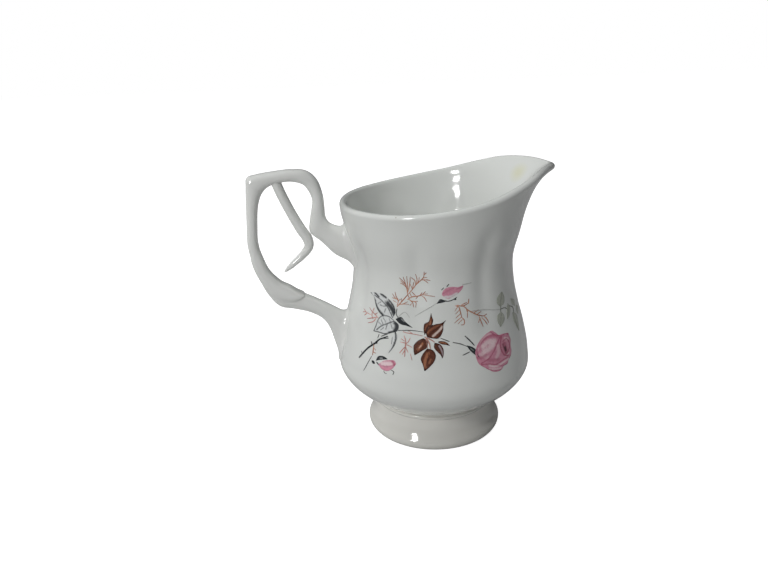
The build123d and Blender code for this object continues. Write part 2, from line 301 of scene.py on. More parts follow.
def foot_piece():
    """The pedestal foot: flat base ring, rounded lip, skirt, two stepped rings and hollow inside."""
    loop = np.vstack([evenly(FOOT_OUTSIDE, FOOT_OUTSIDE_ROWS), evenly(FOOT_INSIDE, FOOT_INSIDE_ROWS)])
    loop[:, 1] = np.maximum(loop[:, 1], 0.0)
    turn = np.arange(FOOT_STEPS) * 2 * math.pi / FOOT_STEPS
    rings = [np.stack([r * np.cos(turn), r * np.sin(turn), np.full(FOOT_STEPS, z)], axis=1) for r, z in loop]
    rings.append(rings[0])
    piece = ring_stack("jug_foot", rings)
    outward(piece)
    return piece


def outward(piece, weld_distance=1e-6):
    """Welds points that coincide and turns every face outwards."""
    work = bmesh.new()
    work.from_mesh(piece.data)
    bmesh.ops.remove_doubles(work, verts=work.verts, dist=weld_distance)
    bmesh.ops.recalc_face_normals(work, faces=work.faces)
    work.to_mesh(piece.data)
    work.free()
    piece.data.polygons.foreach_set("use_smooth", [True] * len(piece.data.polygons))


def oval_ring(centre, across, half_thickness, half_width, power, steps):
    """A rounded section in the plane of across and +Y, as 3-D points."""
    turn = np.arange(steps) * 2 * math.pi / steps
    c, s = np.cos(turn), np.sin(turn)
    a = np.sign(c) * np.abs(c) ** (2 / power) * half_thickness
    b = np.sign(s) * np.abs(s) ** (2 / power) * half_width
    return np.stack([centre[0] + a * across[0], b, centre[1] + a * across[1]], axis=1)


def strap_rings(outer, inner, half_width, power, steps=56):
    rings = []
    for a, b, width in zip(outer, inner, half_width):
        across = (a - b) / np.hypot(*(a - b))
        rings.append(oval_ring((a + b) / 2, across, np.hypot(*(a - b)) / 2, width, power, steps))
    return np.array(rings)


FLARE_STRENGTH = 0.8
LOWEST_JOINT, HIGHEST_JOINT = 17.0, 112.0
RIM_AT_HANDLE = 104.0


def flare_to_wall(rings, reach=3.2):
    """Widens rings where they near the body, in a fillet, and buries what lies inside the wall."""
    rings = rings.copy()
    centres = rings.mean(axis=1, keepdims=True)
    gap = distance_to_wall(rings)
    short = np.clip(reach - gap, 0.0, reach)
    grow = reach - np.sqrt(np.maximum(reach**2 - short**2, 0.0))
    out = rings - centres
    out /= np.linalg.norm(out, axis=2, keepdims=True)
    rings += out * (grow * FLARE_STRENGTH)[..., None]
    return bury_in_wall(rings)


def distance_to_wall(points):
    radius = np.hypot(points[..., 0], points[..., 1])
    angle = np.degrees(np.arctan2(points[..., 1], points[..., 0]))
    height = np.clip(points[..., 2], LOWEST_JOINT, HIGHEST_JOINT)
    wall = wall_radius(angle.ravel(), height.ravel(), RIM_AT_HANDLE)
    return radius - wall.reshape(radius.shape)


def bury_in_wall(points, depth=1.2):
    """Moves points that lie deeper than depth inside the wall back out to that depth."""
    gap = distance_to_wall(points)
    radius = np.hypot(points[..., 0], points[..., 1])
    wanted = np.where(gap < -depth, radius - gap - depth, radius)
    scale = wanted / radius
    points = points.copy()
    points[..., 0] *= scale
    points[..., 1] *= scale
    return points


def swept(name, stations, steps, power):
    """A strap swept smoothly through stations."""
    outer, inner, width = (evenly([station[part] for station in stations], steps) for part in range(3))
    rings = flare_to_wall(strap_rings(outer, inner, width[:, 0], power))
    return ring_stack(name, rings, rings[0].mean(axis=0), rings[-1].mean(axis=0))


def melted(name, parts, voxel, rounds):
    """Parts joined into one skin with softened creases."""
    with bpy.context.temp_override(active_object=parts[0], selected_editable_objects=parts):
        bpy.ops.object.join()
    piece = parts[0]
    piece.name = name
    outward(piece)
    remesh = piece.modifiers.new("melt", "REMESH")
    remesh.mode = "VOXEL"
    remesh.voxel_size = voxel * MM
    soften = piece.modifiers.new("soften", "SMOOTH")
    soften.iterations = rounds
    soften.factor = 0.5
    shape = bpy.data.meshes.new_from_object(piece.evaluated_get(bpy.context.evaluated_depsgraph_get()))
    piece.modifiers.clear()
    piece.data = shape
    shape.polygons.foreach_set("use_smooth", [True] * len(shape.polygons))
    return piece


STRAP_ROWS, STRAP_SQUARENESS = 340, 2.3
BAR_END_ROWS, BAR_END_SQUARENESS = 120, 2.9
MELT_VOXEL, MELT_ROUNDS = 0.3, 3


def handle_piece():
    """The loop handle and the bar's end over its lower arm, melted together as slip-cast porcelain is."""
    strap = swept("strap", STRAP, STRAP_ROWS, STRAP_SQUARENESS)
    bar_end = swept("bar_end", BAR_END, BAR_END_ROWS, BAR_END_SQUARENESS)
    return melted("jug_handle", [strap, bar_end], MELT_VOXEL, MELT_ROUNDS)


SCROLL_ROWS, SCROLL_TIP_ROWS = 150, 14
SCROLL_WIDENING = 1.15


def scroll_piece():
    centre = evenly([station[0] for station in SCROLL], SCROLL_ROWS)
    radius = evenly([station[1] for station in SCROLL], SCROLL_ROWS)[:, 0]
    along = np.gradient(centre, axis=0)
    along /= np.linalg.norm(along, axis=1, keepdims=True)
    across = np.stack([-along[:, 1], along[:, 0]], axis=1)
    taper = np.ones(SCROLL_ROWS)
    taper[-SCROLL_TIP_ROWS:] = np.sqrt(1 - np.linspace(0, 0.985, SCROLL_TIP_ROWS) ** 2)
    half = radius * taper
    rings = [oval_ring(c, a, h, h * SCROLL_WIDENING, 2.0, 40) for c, a, h in zip(centre, across, half)]
    return ring_stack("jug_handle_scroll", rings, rings[0].mean(axis=0), rings[-1].mean(axis=0))


# ---------------------------------------------------------------- fired transfer
# The spray is drawn flat, as (across, height) in millimetres, and laid on the wall as thin enamel. A petal
# or leaf is two edges from base to tip; a stroke is a line and its width.

PINK, PALE_PINK = (0.62, 0.27, 0.36), (0.84, 0.68, 0.70)
CRIMSON, HEART = (0.40, 0.085, 0.15), (0.08, 0.015, 0.03)
BROWN, TAN, UMBER = (0.115, 0.038, 0.022), (0.44, 0.18, 0.095), (0.04, 0.014, 0.012)
STALK, ROSY, MAROON = (0.56, 0.30, 0.25), (0.76, 0.36, 0.32), (0.48, 0.2, 0.17)
SILVER, INK, FAINT = (0.70, 0.72, 0.715), (0.03, 0.034, 0.038), (0.55, 0.56, 0.54)
CORAL, RUST = (0.68, 0.33, 0.21), (0.40, 0.14, 0.09)
SAGE, MOSS = (0.47, 0.49, 0.42), (0.19, 0.20, 0.16)

ROSE = (
    [(14.3, 47.2), (15.2, 49.6), (17.1, 51.6), (19.4, 52.8), (20.9, 53.1), (22.4, 52.1), (23.9, 50.8),
     (25.2, 50.7),
     (26.6, 50.4), (27.9, 49.9), (28.3, 48.8), (28.9, 47.2), (28.8, 45.4), (29.2, 43.2)],
    [(14.3, 47.2), (14.8, 44.6), (15.9, 42.4), (17.8, 40.9), (19.7, 39.4), (21.5, 38.2), (23.4, 37.7),
     (24.8, 37.9),
     (25.7, 38.9), (27.3, 39.1), (27.8, 40.2), (28.8, 41.4), (29.2, 43.2)],
)
ROSE_STROKES = [
    ([(17.4, 48.6), (19.2, 49.5), (21.9, 49.2)], 1.8, PALE_PINK, 0.8),
    ([(17.8, 46.6), (19.8, 47.2), (21.2, 48.0)], 2.0, PALE_PINK, 0.8),
    ([(16.2, 46.0), (17.8, 44.9), (19.0, 44.4)], 1.2, PALE_PINK, 0.5),
    ([(15.4, 47.6), (16.3, 50.0), (18.6, 51.9), (20.9, 52.3)], 0.5, PALE_PINK, 0.5),
    ([(19.8, 41.0), (22.6, 39.9), (25.4, 40.3), (27.6, 40.7)], 0.7, PALE_PINK, 0.8),
    ([(19.9, 39.8), (22.4, 38.9), (24.4, 38.6)], 0.7, PALE_PINK, 0.7),
    ([(26.2, 48.9), (27.6, 47.9)], 0.8, PALE_PINK, 0.7),
    ([(23.3, 47.2), (23.6, 44.8), (22.8, 43.2)], 1.3, PALE_PINK, 0.5),
    ([(26.4, 42.2), (27.9, 42.8)], 0.5, PALE_PINK, 0.7),
    ([(15.6, 49.0), (18.2, 51.1), (21.2, 51.4), (23.8, 50.2)], 0.9, CRIMSON, 0.5),
    ([(15.4, 45.0), (16.8, 44.7), (18.4, 45.0)], 1.3, CRIMSON, 0.55),
    ([(14.9, 48.0), (15.2, 46.4)], 0.7, CRIMSON, 0.5),
    ([(24.6, 50.4), (23.1, 48.2), (21.7, 45.8), (19.9, 43.9), (16.6, 42.6)], 0.45, CRIMSON, 0.85),
    ([(20.2, 53.0), (21.8, 51.6), (23.9, 50.6)], 0.4, CRIMSON, 0.7),
    ([(19.6, 43.2), (21.4, 42.6), (23.6, 42.1)], 1.2, CRIMSON, 0.5),
    ([(24.9, 50.0), (24.3, 47.2), (25.0, 44.6), (26.3, 42.6), (27.7, 42.0)], 0.5, CRIMSON, 0.9),
    ([(25.2, 50.2), (26.6, 50.4), (27.8, 49.6)], 0.5, CRIMSON, 0.6),
    ([(25.3, 48.0), (26.8, 48.4), (28.0, 46.9), (28.2, 44.6), (27.2, 42.9)], 0.4, CRIMSON, 0.85),
    ([(25.9, 46.8), (26.4, 45.0), (26.9, 43.4)], 1.7, CRIMSON, 0.75),
    ([(16.6, 42.2), (19.5, 41.7), (22.4, 40.7), (25.1, 41.2), (27.4, 41.5)], 0.4, CRIMSON, 0.8),
    ([(20.4, 41.4), (22.9, 40.3), (25.2, 39.2)], 0.3, CRIMSON, 0.6),
    ([(16.8, 41.6), (19.4, 39.8), (22.0, 38.5), (24.6, 38.0)], 0.4, CRIMSON, 0.7),
    ([(25.7, 39.0), (27.6, 39.4), (28.6, 41.6)], 0.4, CRIMSON, 0.6),
    ([(26.3, 45.6), (26.7, 44.2)], 0.8, HEART, 1.0),
    ([(25.4, 47.2), (25.8, 45.6), (26.8, 43.2)], 0.25, HEART, 0.8),
]
LOW_BUD = (
    [(-21.8, 41.5), (-19.8, 43.3), (-17.6, 44.1), (-15.5, 44.2), (-14.9, 43.2)],
    [(-21.8, 41.5), (-20.5, 40.1), (-18.6, 39.8), (-16.7, 40.9), (-14.9, 43.2)],
)
TOP_BUD = (
    [(2.1, 69.2), (2.6, 70.7), (4.1, 71.8), (6.1, 72.0), (8.2, 71.7), (10.1, 72.2)],
    [(2.1, 69.2), (4.4, 67.7), (6.7, 68.6), (8.5, 69.7), (9.6, 70.9), (10.1, 72.2)],
)
BUD_STROKES = [
    ([(-20.6, 40.9), (-18.6, 40.6), (-17.0, 41.4)], 0.8, (0.74, 0.30, 0.40), 0.7),
    ([(-16.3, 43.6), (-15.6, 42.6)], 1.0, CRIMSON, 0.9),
    ([(-20.2, 42.2), (-18.4, 42.6), (-17.0, 42.9)], 1.5, PALE_PINK, 0.9),
    ([(-20.4, 41.4), (-18.2, 41.6), (-16.4, 42.4)], 0.25, CRIMSON, 0.6),
    ([(2.8, 69.8), (4.6, 70.9), (6.4, 71.4)], 0.7, CRIMSON, 0.4),
    ([(7.6, 71.0), (9.8, 71.7)], 0.5, CRIMSON, 0.5),
    ([(3.4, 68.4), (5.2, 68.4), (7.6, 69.4)], 0.9, (0.72, 0.66, 0.68), 0.95),
]

BROWN_LEAVES = [
    ([(-4.3, 54.4), (-4.6, 57.0), (-4.2, 58.6), (-2.7, 59.5), (-2.2, 61.0), (-1.8, 62.8)],
     [(-4.3, 54.4), (-3.2, 56.2), (-1.5, 58.3), (-1.1, 60.1), (-1.5, 61.3), (-1.8, 62.8)]),
    ([(-3.4, 53.8), (-3.8, 55.9), (-2.6, 57.7), (-0.4, 58.5), (2.3, 59.1), (3.7, 60.0)],
     [(-3.4, 53.8), (-1.4, 53.5), (0.7, 53.5), (1.9, 54.8), (2.5, 56.4), (2.7, 58.5), (3.7, 60.0)]),
    ([(-4.6, 53.5), (-6.9, 52.3), (-8.3, 50.6), (-8.4, 49.2), (-8.1, 47.1)],
     [(-4.6, 53.5), (-3.2, 52.4), (-3.5, 50.2), (-5.5, 48.8), (-7.3, 47.6), (-8.1, 47.1)]),
    ([(-3.4, 49.9), (-5.1, 47.8), (-5.8, 46.0), (-5.1, 43.9), (-4.5, 41.5)],
     [(-3.4, 49.9), (-1.2, 49.2), (-0.3, 47.6), (-0.9, 45.2), (-2.6, 43.2), (-4.5, 41.5)]),
    ([(-0.7, 52.0), (-0.9, 50.3), (0.5, 48.5), (1.5, 47.5), (2.1, 46.1)],
     [(-0.7, 52.0), (1.3, 51.4), (2.5, 49.6), (2.6, 47.8), (2.1, 46.1)]),
    ([(0.4, 52.2), (1.4, 52.5), (3.4, 52.1), (5.1, 50.6)],
     [(0.4, 52.2), (1.8, 51.4), (3.4, 51.1), (5.1, 50.6)]),
]
BROWN_STROKES = [
    ([(-3.2, 55.6), (-2.4, 57.8), (-2.2, 60.6)], 0.9, TAN, 0.75),
    ([(-4.0, 56.4), (-3.3, 58.2)], 0.5, TAN, 0.4),
    ([(-1.2, 54.3), (0.8, 56.0), (2.2, 57.6)], 0.75, (0.72, 0.58, 0.52), 0.95),
    ([(-2.6, 56.2), (-0.6, 57.4), (1.6, 58.3)], 0.8, TAN, 0.35),
    ([(-5.2, 51.5), (-6.8, 49.4)], 0.9, TAN, 0.8),
    ([(-5.6, 50.8), (-6.4, 49.9)], 0.35, (0.78, 0.55, 0.45), 0.7),
    ([(-3.1, 48.2), (-4.2, 45.6), (-4.3, 43.2)], 1.1, TAN, 0.75),
    ([(-2.2, 46.0), (-2.8, 44.6)], 0.6, TAN, 0.5),
    ([(1.0, 50.8), (1.9, 49.0), (2.3, 47.4)], 0.6, (0.50, 0.42, 0.45), 0.7),
    ([(0.8, 52.1), (2.6, 51.9), (4.0, 51.5)], 0.5, TAN, 0.8),
    ([(-3.4, 53.8), (-1.6, 55.6), (0.6, 57.4), (3.4, 59.6)], 0.25, UMBER, 0.9),
    ([(-4.3, 54.2), (-3.4, 56.6), (-2.4, 59.2), (-1.8, 62.4)], 0.2, UMBER, 0.8),
    ([(-4.6, 53.4), (-6.0, 51.0), (-7.4, 48.6), (-8.0, 47.4)], 0.2, UMBER, 0.8),
    ([(-3.4, 49.8), (-3.0, 47.0), (-3.8, 44.0), (-4.4, 41.8)], 0.2, UMBER, 0.8),
    ([(-0.7, 52.0), (0.6, 50.4), (1.6, 48.6), (2.1, 46.4)], 0.25, UMBER, 0.8),
]
STALKS = [
    ([(-4.2, 53.9), (-3.3, 52.9), (-2.6, 51.6), (-2.2, 49.6)], 0.55),
    ([(-3.6, 53.7), (-1.8, 52.9), (-0.6, 52.1)], 0.45),
    ([(-3.8, 53.2), (-3.4, 51.4), (-3.3, 49.9)], 0.35),
]

GREY_LEAVES = [
    ([(-15.8, 59.5), (-20.1, 59.8), (-22.0, 62.0), (-22.6, 64.2), (-22.9, 65.7), (-24.4, 66.9)],
     [(-15.8, 59.5), (-14.8, 62.1), (-15.6, 64.7), (-17.5, 66.6), (-19.6, 67.7), (-21.8, 67.6),
      (-24.4, 66.9)]),
    ([(-15.4, 58.8), (-17.5, 60.1), (-19.8, 59.8), (-21.6, 57.8), (-22.5, 55.5), (-23.5, 53.0)],
     [(-15.4, 58.8), (-13.7, 57.4), (-14.2, 55.2), (-16.4, 54.1), (-19.0, 53.1), (-21.5, 53.1),
      (-23.5, 53.0)]),
    ([(-15.0, 54.9), (-16.3, 52.4), (-16.7, 50.2), (-17.8, 46.4)],
     [(-15.0, 54.9), (-14.3, 53.4), (-14.9, 50.9), (-17.8, 46.4)]),
]
INK_LEAVES = [
    ([(-14.9, 59.4), (-12.7, 60.4), (-11.3, 58.9), (-8.4, 56.7)],
     [(-14.9, 59.4), (-13.2, 57.9), (-10.8, 57.4), (-8.4, 56.7)]),
    ([(-22.8, 42.5), (-21.6, 44.6), (-19.4, 45.0), (-18.0, 44.3)],
     [(-22.8, 42.5), (-21.2, 43.3), (-18.0, 44.3)]),
    ([(-24.5, 42.2), (-23.6, 42.3), (-22.9, 41.3)], [(-24.5, 42.2), (-23.9, 41.1), (-22.9, 41.3)]),
    ([(11.0, 50.2), (12.4, 48.1), (14.2, 46.3), (16.0, 44.8)],
     [(11.0, 50.2), (13.0, 49.4), (14.5, 48.2), (16.0, 44.8)]),
    ([(0.2, 66.0), (1.7, 67.7), (2.9, 67.3), (4.3, 66.9)], [(0.2, 66.0), (2.1, 66.3), (4.3, 66.9)]),
]
INK_STROKES = [
    ([(-22.8, 64.8), (-22.3, 63.0), (-21.4, 61.4), (-19.7, 59.9)], 1.1, INK, 0.97),
    ([(-17.6, 64.6), (-16.3, 63.3), (-15.3, 61.6)], 1.9, INK, 0.97),
    ([(-17.2, 66.1), (-15.8, 64.6), (-14.9, 62.7), (-15.4, 60.4)], 0.6, INK, 0.95),
    ([(-22.4, 67.3), (-21.0, 66.3)], 0.7, INK, 0.95),
    ([(-20.0, 67.6), (-18.3, 66.7)], 0.9, INK, 0.95),
    ([(-15.8, 59.5), (-17.8, 63.2), (-20.0, 65.2), (-22.6, 66.4)], 0.36, INK, 0.95),
    ([(-20.6, 63.4), (-19.4, 63.2), (-17.8, 63.7)], 0.3, INK, 0.8),
    ([(-22.8, 65.4), (-24.2, 66.8)], 0.5, INK, 0.9),
    ([(-14.8, 58.0), (-14.3, 56.8), (-15.0, 55.2)], 1.7, INK, 0.97),
    ([(-17.4, 54.0), (-15.1, 55.0)], 0.8, INK, 0.95),
    ([(-15.5, 58.5), (-17.9, 57.2), (-20.2, 55.8), (-22.2, 53.9)], 0.36, INK, 0.9),
    ([(-19.5, 56.4), (-20.3, 58.0)], 0.28, INK, 0.8),
    ([(-17.9, 57.2), (-18.6, 55.0)], 0.28, INK, 0.8),
    ([(-15.5, 58.9), (-17.5, 59.9), (-19.8, 59.6), (-21.4, 57.8), (-22.3, 55.5), (-23.3, 53.2)], 0.36,
     INK, 0.85),
    ([(-16.6, 54.3), (-19.0, 53.3), (-21.5, 53.3), (-23.4, 53.1)], 0.42, INK, 0.9),
    ([(-15.0, 54.8), (-14.8, 53.0), (-15.3, 50.9), (-16.4, 48.3), (-17.7, 46.5)], 0.6, INK, 0.95),
    ([(-16.2, 52.6), (-16.6, 50.2)], 0.3, INK, 0.8),
    ([(-21.4, 56.9), (-20.2, 56.2)], 0.26, INK, 0.75),
    ([(-19.4, 58.9), (-18.6, 57.6)], 0.26, INK, 0.75),
    ([(-17.2, 59.2), (-16.8, 58.0)], 0.26, INK, 0.75),
    ([(-20.6, 54.2), (-19.4, 55.4)], 0.26, INK, 0.75),
    ([(-16.6, 57.4), (-16.2, 55.8)], 0.26, INK, 0.75),
    ([(-21.4, 63.6), (-20.2, 64.6)], 0.26, INK, 0.75),
    ([(-19.0, 61.0), (-18.4, 62.6)], 0.26, INK, 0.75),
    ([(-12.6, 59.7), (-11.6, 58.9)], 0.35, SILVER, 0.4),
    ([(-21.0, 44.0), (-20.2, 44.2)], 0.4, SILVER, 0.6),
    ([(12.6, 48.9), (13.6, 47.9)], 0.35, (0.30, 0.36, 0.33), 0.7),
]
TWIGS = [
    ([(-29.6, 41.0), (-28.1, 43.2), (-25.4, 46.6), (-22.9, 48.9), (-21.3, 50.6), (-17.9, 52.6)], 0.55),
    ([(-23.4, 48.6), (-21.9, 49.4)], 0.6),
    ([(-28.1, 43.0), (-28.5, 44.0)], 0.3),
    ([(-24.1, 47.9), (-24.3, 49.1)], 0.35),
    ([(-21.9, 50.2), (-19.9, 51.4), (-17.6, 52.0)], 0.4),
    ([(-20.4, 52.0), (-19.0, 52.9), (-17.9, 53.4)], 0.3),
    ([(-21.2, 52.6), (-21.8, 51.0)], 0.25),
    ([(-14.2, 63.3), (-14.5, 61.2), (-13.9, 60.0)], 0.28),
    ([(-14.0, 55.4), (-10.2, 55.8), (-4.6, 55.6)], 0.28),
    ([(-27.8, 36.9), (-25.9, 40.7), (-24.3, 43.8)], 0.2),
    ([(-22.5, 42.2), (-21.6, 41.4), (-20.8, 40.9)], 0.45),
    ([(-19.8, 39.7), (-19.2, 38.8), (-18.6, 38.8)], 0.22),
    ([(-17.0, 40.6), (-15.9, 40.1), (-16.3, 38.9)], 0.28),
    ([(1.6, 53.5), (4.8, 52.2)], 0.3),
    ([(6.0, 51.8), (9.0, 50.9), (11.4, 49.7)], 0.32),
    ([(10.5, 53.6), (12.4, 51.6), (14.1, 49.6)], 0.4),
    ([(9.6, 46.8), (11.1, 47.3), (12.4, 47.7)], 0.3),
    ([(3.8, 66.7), (5.7, 67.0), (7.7, 68.0)], 0.35),
    ([(6.7, 67.2), (7.4, 67.4)], 0.6),
    ([(2.0, 71.0), (2.9, 71.9)], 0.3),
    ([(3.9, 72.1), (4.8, 73.2)], 0.35),
]
FAINT_TWIGS = [
    ([(0.3, 66.2), (-4.0, 63.4), (-7.7, 60.9)], 0.28),
    ([(13.2, 62.0), (17.7, 61.3), (24.5, 59.7)], 0.26),
    ([(9.6, 72.4), (13.0, 72.6)], 0.35),
    ([(-14.0, 60.2), (-11.2, 62.2), (-9.6, 60.4)], 0.25),
]

CORAL_TWIGS = [
    ([(-14.2, 64.0), (-12.4, 66.1), (-10.2, 68.8)], 0.36),
    ([(-10.2, 68.8), (-10.4, 71.0), (-11.4, 73.4), (-13.1, 75.1)], 0.3),
    ([(-10.2, 69.4), (-10.7, 72.2), (-11.7, 75.6)], 0.28),
    ([(-10.2, 69.8), (-10.2, 72.6), (-10.4, 75.9)], 0.28),
    ([(-10.1, 69.8), (-9.4, 72.7), (-9.1, 75.7)], 0.28),
    ([(-12.9, 73.1), (-11.7, 72.6), (-10.5, 71.4)], 0.26),
    ([(-12.7, 74.0), (-11.4, 72.8)], 0.22),
    ([(-10.2, 68.8), (-8.7, 70.5), (-6.9, 72.9), (-5.3, 74.5), (-4.4, 75.7), (-4.1, 78.0)], 0.34),
    ([(-9.2, 72.9), (-8.6, 71.4), (-8.4, 70.8)], 0.26),
    ([(-7.2, 72.5), (-7.6, 74.4), (-8.8, 75.4)], 0.28),
    ([(-7.0, 72.7), (-6.7, 74.8), (-7.2, 76.8)], 0.28),
    ([(-6.9, 72.9), (-6.1, 74.2), (-5.9, 75.7)], 0.26),
    ([(-8.4, 71.2), (-7.9, 73.6)], 0.24),
    ([(-5.3, 74.5), (-3.8, 74.9), (-1.9, 74.7)], 0.28),
    ([(-4.7, 74.9), (-3.7, 74.4), (-2.7, 73.6)], 0.26),
    ([(-4.2, 76.7), (-3.3, 77.7)], 0.24),
    ([(-4.7, 75.4), (-3.0, 75.9)], 0.22),
    ([(-10.3, 67.0), (-8.7, 68.0), (-6.3, 68.5), (-4.9, 69.1), (-3.7, 70.4)], 0.36),
    ([(-4.9, 69.1), (-3.3, 69.0), (-0.2, 68.7)], 0.22),
    ([(-10.2, 68.9), (-9.6, 67.6)], 0.3),
    ([(-8.7, 68.0), (-9.4, 69.4)], 0.26),
    ([(-7.2, 68.4), (-8.7, 70.0)], 0.26),
    ([(-6.3, 68.5), (-7.3, 67.3)], 0.26),
    ([(-5.1, 68.7), (-4.1, 68.0), (-3.3, 66.7)], 0.26),
    ([(-5.7, 68.8), (-4.9, 69.9)], 0.26),
    ([(-4.4, 69.4), (-2.9, 69.6)], 0.24),
    ([(-10.0, 67.2), (-8.6, 66.2), (-8.0, 64.2)], 0.32),
    ([(-8.6, 66.5), (-7.3, 66.1), (-7.3, 64.2)], 0.3),
    ([(-7.9, 66.3), (-6.5, 66.5)], 0.24),
    ([(-8.8, 65.6), (-9.4, 64.8)], 0.24),
    ([(-14.1, 64.6), (-13.7, 66.2), (-14.5, 68.0), (-14.8, 69.4)], 0.32),
    ([(-13.8, 66.5), (-14.9, 67.3), (-15.8, 68.6)], 0.26),
    ([(-14.2, 66.8), (-15.9, 67.1)], 0.24),
    ([(-13.8, 66.2), (-12.8, 67.0)], 0.24),
    ([(-14.3, 65.5), (-15.6, 66.1)], 0.24),
    ([(-13.4, 64.9), (-11.5, 65.3), (-9.7, 65.2)], 0.26),
    ([(-11.8, 65.4), (-10.2, 66.2)], 0.24),
    ([(-12.6, 66.0), (-12.4, 67.4)], 0.22),
    ([(-23.3, 48.2), (-23.6, 46.4), (-24.0, 44.2)], 0.38),
    ([(-23.8, 45.5), (-22.6, 45.3)], 0.3),
    ([(-23.4, 47.0), (-22.6, 46.4)], 0.24),
    ([(7.0, 64.9), (8.2, 64.4), (8.9, 62.5), (9.4, 60.3)], 0.34),
    ([(9.4, 60.3), (10.3, 59.3), (10.1, 57.7), (9.1, 57.7)], 0.34),
    ([(7.9, 64.5), (6.8, 62.9)], 0.26),
    ([(8.6, 63.2), (7.1, 61.8)], 0.26),
    ([(9.1, 61.9), (7.1, 60.3)], 0.26),
    ([(9.3, 60.6), (6.7, 58.6)], 0.26),
    ([(9.6, 59.6), (8.0, 58.2)], 0.24),
    ([(7.6, 65.0), (10.0, 64.5), (11.9, 65.2)], 0.4),
    ([(9.2, 64.9), (11.4, 65.6)], 0.3),
    ([(11.9, 65.0), (12.1, 66.8)], 0.34),
    ([(10.0, 64.5), (11.3, 63.1), (13.8, 61.2), (16.4, 59.6), (18.0, 59.1), (19.1, 59.5)], 0.36),
    ([(11.6, 62.7), (11.5, 59.9)], 0.26),
    ([(10.0, 64.3), (10.9, 63.7), (11.4, 62.2)], 0.28),
    ([(12.8, 61.9), (14.4, 61.9)], 0.24),
    ([(13.8, 61.2), (15.9, 61.8)], 0.28),
    ([(15.1, 60.3), (16.9, 60.9)], 0.28),
    ([(16.0, 59.5), (16.7, 57.6), (17.6, 55.4)], 0.3),
    ([(18.0, 58.9), (19.1, 57.7), (19.8, 56.2)], 0.3),
    ([(17.0, 58.7), (18.2, 57.4), (19.3, 55.7)], 0.28),
    ([(16.2, 58.4), (15.7, 57.2)], 0.24),
]
ROSY_TWIGS = [
    ([(-21.3, 58.2), (-22.4, 59.1), (-23.7, 59.9), (-24.8, 61.0)], 0.32),
    ([(-23.5, 60.0), (-22.9, 61.6)], 0.26),
    ([(-22.6, 59.4), (-21.6, 60.2)], 0.24),
    ([(-21.7, 58.6), (-23.9, 57.6), (-25.9, 56.6)], 0.32),
    ([(-22.4, 57.9), (-23.1, 56.8), (-25.6, 55.2)], 0.3),
    ([(-23.7, 59.8), (-23.9, 58.4), (-23.4, 57.3)], 0.28),
    ([(-24.4, 58.6), (-26.8, 58.5), (-27.7, 57.9)], 0.28),
    ([(-25.9, 58.5), (-27.0, 57.2)], 0.26),
    ([(-26.2, 58.7), (-27.3, 59.3)], 0.24),
    ([(-11.8, 53.8), (-11.2, 51.8), (-11.5, 49.4), (-11.7, 46.3)], 0.4),
    ([(-13.2, 51.4), (-11.3, 51.2)], 0.3),
    ([(-12.9, 52.6), (-11.4, 51.8)], 0.26),
    ([(-9.5, 53.2), (-10.4, 51.6), (-11.3, 50.9)], 0.28),
    ([(-13.6, 47.4), (-12.3, 49.0), (-11.5, 49.8)], 0.32),
    ([(-12.6, 47.0), (-11.6, 48.8)], 0.26),
    ([(-8.9, 49.9), (-10.3, 50.5), (-11.3, 50.7)], 0.28),
    ([(-10.4, 47.9), (-11.1, 49.4), (-11.5, 50.6)], 0.28),
    ([(-9.6, 47.6), (-9.0, 45.3)], 0.26),
    ([(-12.2, 55.2), (-10.4, 54.8), (-8.4, 54.6), (-5.0, 54.2)], 0.28),
    ([(-10.2, 55.6), (-8.6, 54.7)], 0.24),
]

PALE_LEAVES = [
    ([(24.6, 60.6), (23.2, 62.4), (23.3, 64.3), (25.4, 66.0)],
     [(24.6, 60.6), (26.2, 61.1), (26.5, 62.8), (25.4, 66.0)]),
    ([(24.9, 58.7), (23.4, 57.9), (23.3, 56.3), (24.6, 53.2)],
     [(24.9, 58.7), (26.1, 57.1), (26.3, 55.1), (24.6, 53.2)]),
    ([(28.0, 60.5), (27.4, 58.0), (27.5, 54.7)], [(28.0, 60.5), (29.2, 57.9), (28.7, 55.7), (27.5, 54.7)]),
    ([(29.4, 61.4), (30.0, 59.1), (31.7, 57.0)], [(29.4, 61.4), (31.6, 59.2), (31.7, 57.0)]),
    ([(30.3, 56.0), (30.3, 53.8), (31.3, 51.2), (33.3, 47.4)],
     [(30.3, 56.0), (32.0, 54.3), (33.0, 51.0), (33.3, 47.4)]),
    ([(32.4, 57.0), (32.4, 55.0), (33.4, 53.0)], [(32.4, 57.0), (33.5, 55.6), (33.4, 53.0)]),
]
PALE_STROKES = [
    ([(24.7, 60.6), (24.9, 63.0), (25.4, 65.8)], 0.22, MOSS, 0.6),
    ([(24.9, 58.7), (24.8, 56.0), (24.6, 53.4)], 0.22, MOSS, 0.6),
    ([(24.6, 60.6), (23.2, 62.4), (23.3, 64.3)], 0.2, MOSS, 0.5),
    ([(23.4, 57.9), (23.3, 56.3), (24.5, 53.4)], 0.22, MOSS, 0.6),
    ([(28.0, 60.2), (28.2, 57.6), (27.6, 55.0)], 0.22, MOSS, 0.5),
    ([(30.3, 55.8), (31.4, 52.4), (33.2, 47.8)], 0.25, MOSS, 0.6),
    ([(29.5, 61.2), (30.8, 59.2), (31.6, 57.4)], 0.2, MOSS, 0.4),
]
PALE_TWIGS = [
    ([(24.5, 59.7), (26.6, 59.4), (28.2, 58.0)], 0.26),
    ([(24.8, 61.0), (24.8, 58.4)], 0.3),
    ([(28.6, 59.2), (30.4, 57.6), (31.0, 55.4)], 0.26),
]

ENAMEL_TOP, ENAMEL_UNDERSIDE = 0.06, 0.012
PAINT_STEP = 0.24


